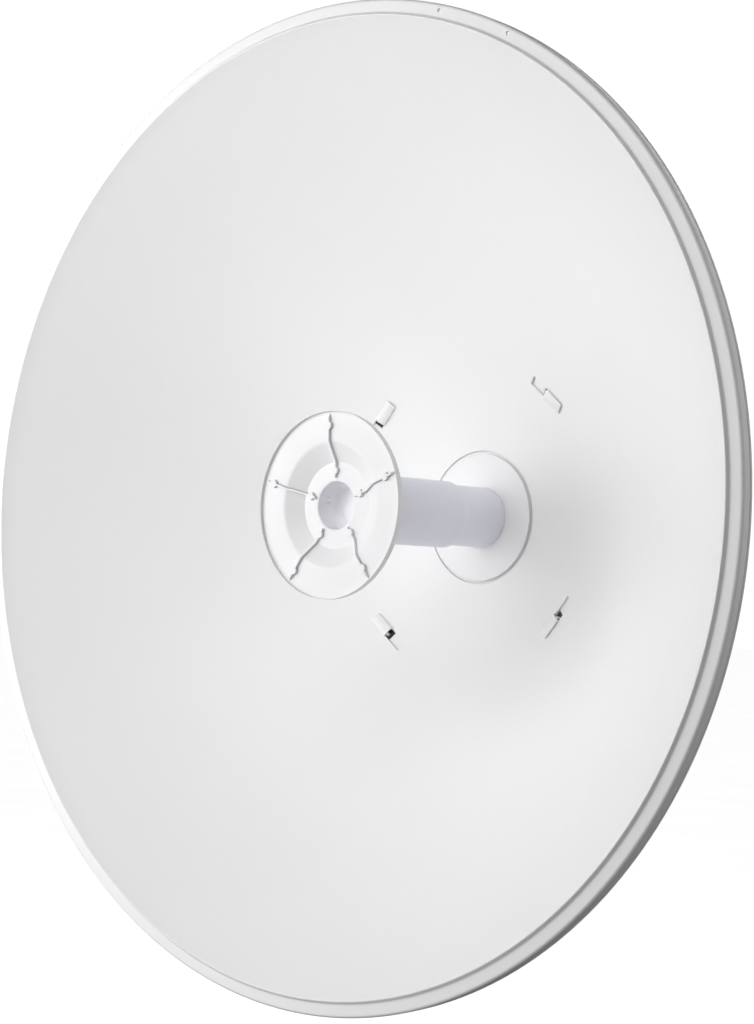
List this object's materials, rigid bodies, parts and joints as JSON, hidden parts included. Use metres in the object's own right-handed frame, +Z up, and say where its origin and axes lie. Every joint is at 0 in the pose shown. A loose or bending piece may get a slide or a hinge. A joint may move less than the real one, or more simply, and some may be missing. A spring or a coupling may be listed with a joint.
{
  "type": "parabolic dish antenna",
  "caption": "White parabolic dish antenna with a front feed, a round sub-reflector, a tilting back bracket and a V-jaw clamp that holds it on a vertical mast.",
  "frame": {"origin": "on the flat back face of the mast bracket, midway between its cheeks and midway between the two clamp jaws", "axes": "+Y runs backwards, square out of the bracket's back face into the mast; the dish looks along -Y; +Z is up; X runs across"},
  "size_m": [0.65, 0.386, 0.65],
  "materials": {
    "reflector": "satin white powder coat",
    "hub_cover": "satin white powder coat",
    "feed_tube": "satin pale lavender grey",
    "feed_sleeve": "satin pale lavender grey",
    "feed_base": "satin pale grey",
    "subreflector": "satin white",
    "subreflector_neck": "satin pale lavender grey",
    "back_pan": "satin white powder coat",
    "latch_hook_1": "satin white powder coat",
    "latch_hook_2": "satin white powder coat",
    "latch_hook_3": "satin white powder coat",
    "latch_hook_4": "satin white powder coat",
    "elevation_bracket": "satin white powder coat",
    "mast_bracket": "satin white powder coat",
    "pan_bolt_upper_left": "zinc plated",
    "pan_bolt_upper_right": "zinc plated",
    "pan_bolt_lower_left": "zinc plated",
    "pan_bolt_lower_right": "zinc plated",
    "pivot_bolt_left": "zinc plated",
    "pivot_bolt_right": "zinc plated",
    "lock_bolt_left": "zinc plated",
    "lock_bolt_right": "zinc plated",
    "ground_screw": "zinc plated",
    "clamp_jaw_upper": "zinc plated",
    "clamp_jaw_lower": "zinc plated",
    "clamp_bolt_upper_left": "zinc plated",
    "clamp_bolt_upper_right": "zinc plated",
    "clamp_bolt_lower_left": "zinc plated",
    "clamp_bolt_lower_right": "zinc plated",
    "clamp_nut_upper_left": "zinc plated",
    "clamp_nut_upper_right": "zinc plated",
    "clamp_nut_lower_left": "zinc plated",
    "clamp_nut_lower_right": "zinc plated",
    "rf_connector_left": "gold plated",
    "rf_connector_right": "gold plated"
  },
  "bodies": {
    "root": {"reflector": "reflector", "hub_cover": "hub_cover", "feed_tube": "feed_tube", "feed_sleeve": "feed_sleeve", "feed_base": "feed_base", "subreflector": "subreflector", "subreflector_neck": "subreflector_neck", "back_pan": "back_pan", "latch_hook_1": "latch_hook_1", "latch_hook_2": "latch_hook_2", "latch_hook_3": "latch_hook_3", "latch_hook_4": "latch_hook_4", "elevation_bracket": "elevation_bracket", "mast_bracket": "mast_bracket", "pan_bolt_upper_left": "pan_bolt_upper_left", "pan_bolt_upper_right": "pan_bolt_upper_right", "pan_bolt_lower_left": "pan_bolt_lower_left", "pan_bolt_lower_right": "pan_bolt_lower_right", "pivot_bolt_left": "pivot_bolt_left", "pivot_bolt_right": "pivot_bolt_right", "lock_bolt_left": "lock_bolt_left", "lock_bolt_right": "lock_bolt_right", "ground_screw": "ground_screw", "clamp_jaw_upper": "clamp_jaw_upper", "clamp_jaw_lower": "clamp_jaw_lower", "clamp_bolt_upper_left": "clamp_bolt_upper_left", "clamp_bolt_upper_right": "clamp_bolt_upper_right", "clamp_bolt_lower_left": "clamp_bolt_lower_left", "clamp_bolt_lower_right": "clamp_bolt_lower_right", "clamp_nut_upper_left": "clamp_nut_upper_left", "clamp_nut_upper_right": "clamp_nut_upper_right", "clamp_nut_lower_left": "clamp_nut_lower_left", "clamp_nut_lower_right": "clamp_nut_lower_right", "rf_connector_left": "rf_connector_left", "rf_connector_right": "rf_connector_right"}
  },
  "joints": []
}
